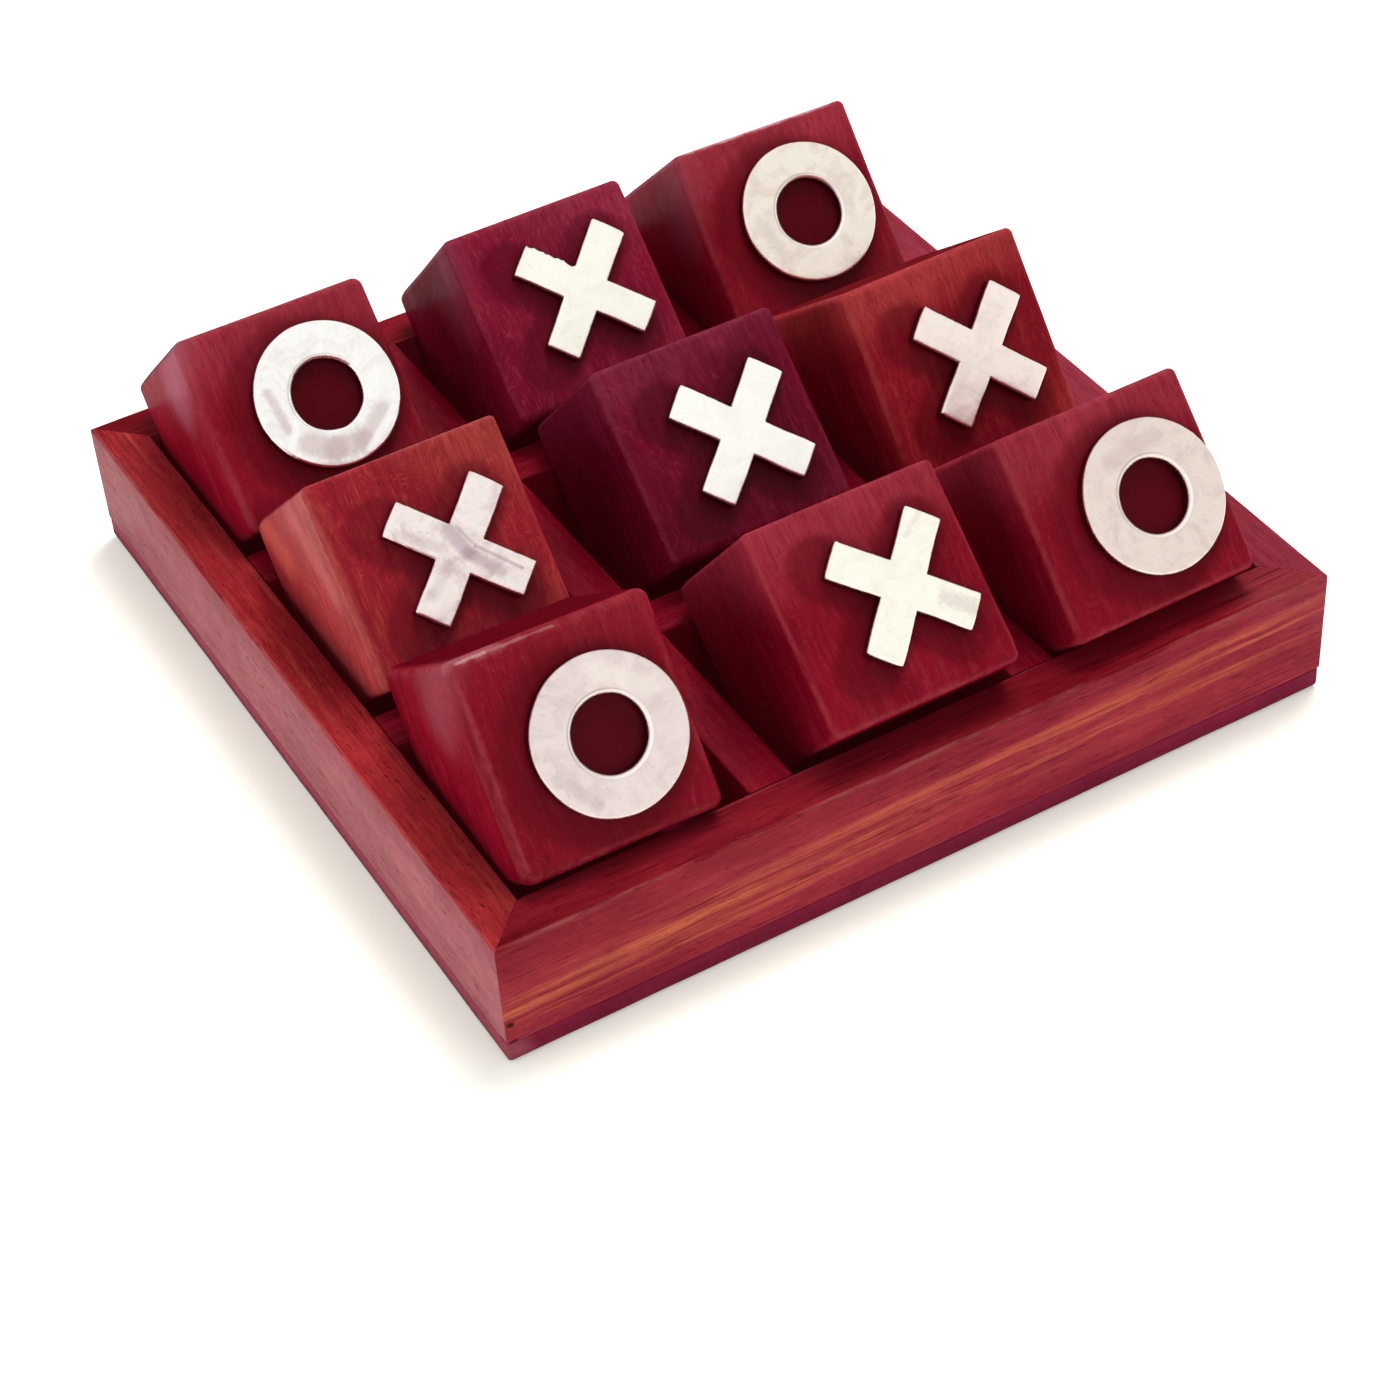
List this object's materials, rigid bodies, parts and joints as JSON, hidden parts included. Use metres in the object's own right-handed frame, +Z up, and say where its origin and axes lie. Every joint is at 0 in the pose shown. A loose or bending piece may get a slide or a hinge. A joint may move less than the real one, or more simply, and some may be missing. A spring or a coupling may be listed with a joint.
{
  "type": "tic tac toe set",
  "caption": "Square wooden tray with a lattice of open cells, each holding a loose wooden cube on edge with a raised metal ring or cross on its slanting face.",
  "frame": {"origin": "middle of the tray's underside", "axes": "+X along the front rail from left to right, +Y from the front rail to the back rail, +Z up out of the tray"},
  "size_m": [0.15, 0.15, 0.0537],
  "materials": {
    "tray_wood": "stained and oiled, satin",
    "base_wood": "dark stained, satin",
    "cube_wood_red": "crimson stained, oiled satin",
    "cube_wood_purple": "dark purple-red stained, oiled satin",
    "cube_wood_orange": "orange-red stained, oiled satin",
    "mark_metal": "hand-polished satin with small dents"
  },
  "bodies": {
    "tray": {"base_board": "base_wood", "front_rail": "tray_wood", "right_rail": "tray_wood", "back_rail": "tray_wood", "left_rail": "tray_wood", "long_divider_left": "tray_wood", "long_divider_right": "tray_wood", "cross_divider_front": "tray_wood", "cross_divider_back": "tray_wood"},
    "piece_front_left": {"block_front_left": "cube_wood_red", "ring_front_left": "mark_metal"},
    "piece_front_centre": {"block_front_centre": "cube_wood_red", "cross_front_centre": "mark_metal"},
    "piece_front_right": {"block_front_right": "cube_wood_red", "ring_front_right": "mark_metal"},
    "piece_middle_left": {"block_middle_left": "cube_wood_orange", "cross_middle_left": "mark_metal"},
    "piece_middle_centre": {"block_middle_centre": "cube_wood_purple", "cross_middle_centre": "mark_metal"},
    "piece_middle_right": {"block_middle_right": "cube_wood_orange", "cross_middle_right": "mark_metal"},
    "piece_back_left": {"block_back_left": "cube_wood_red", "ring_back_left": "mark_metal"},
    "piece_back_centre": {"block_back_centre": "cube_wood_purple", "cross_back_centre": "mark_metal"},
    "piece_back_right": {"block_back_right": "cube_wood_red", "ring_back_right": "mark_metal"}
  },
  "joints": [
    {"name": "lift_front_left", "type": "slide", "parent": "tray", "child": "piece_front_left", "axis": [0, 0, 1], "range_m": [0, 0.06]},
    {"name": "lift_front_centre", "type": "slide", "parent": "tray", "child": "piece_front_centre", "axis": [0, 0, 1], "range_m": [0, 0.06]},
    {"name": "lift_front_right", "type": "slide", "parent": "tray", "child": "piece_front_right", "axis": [0, 0, 1], "range_m": [0, 0.06]},
    {"name": "lift_middle_left", "type": "slide", "parent": "tray", "child": "piece_middle_left", "axis": [0, 0, 1], "range_m": [0, 0.06]},
    {"name": "lift_middle_centre", "type": "slide", "parent": "tray", "child": "piece_middle_centre", "axis": [0, 0, 1], "range_m": [0, 0.06]},
    {"name": "lift_middle_right", "type": "slide", "parent": "tray", "child": "piece_middle_right", "axis": [0, 0, 1], "range_m": [0, 0.06]},
    {"name": "lift_back_left", "type": "slide", "parent": "tray", "child": "piece_back_left", "axis": [0, 0, 1], "range_m": [0, 0.06]},
    {"name": "lift_back_centre", "type": "slide", "parent": "tray", "child": "piece_back_centre", "axis": [0, 0, 1], "range_m": [0, 0.06]},
    {"name": "lift_back_right", "type": "slide", "parent": "tray", "child": "piece_back_right", "axis": [0, 0, 1], "range_m": [0, 0.06]}
  ]
}
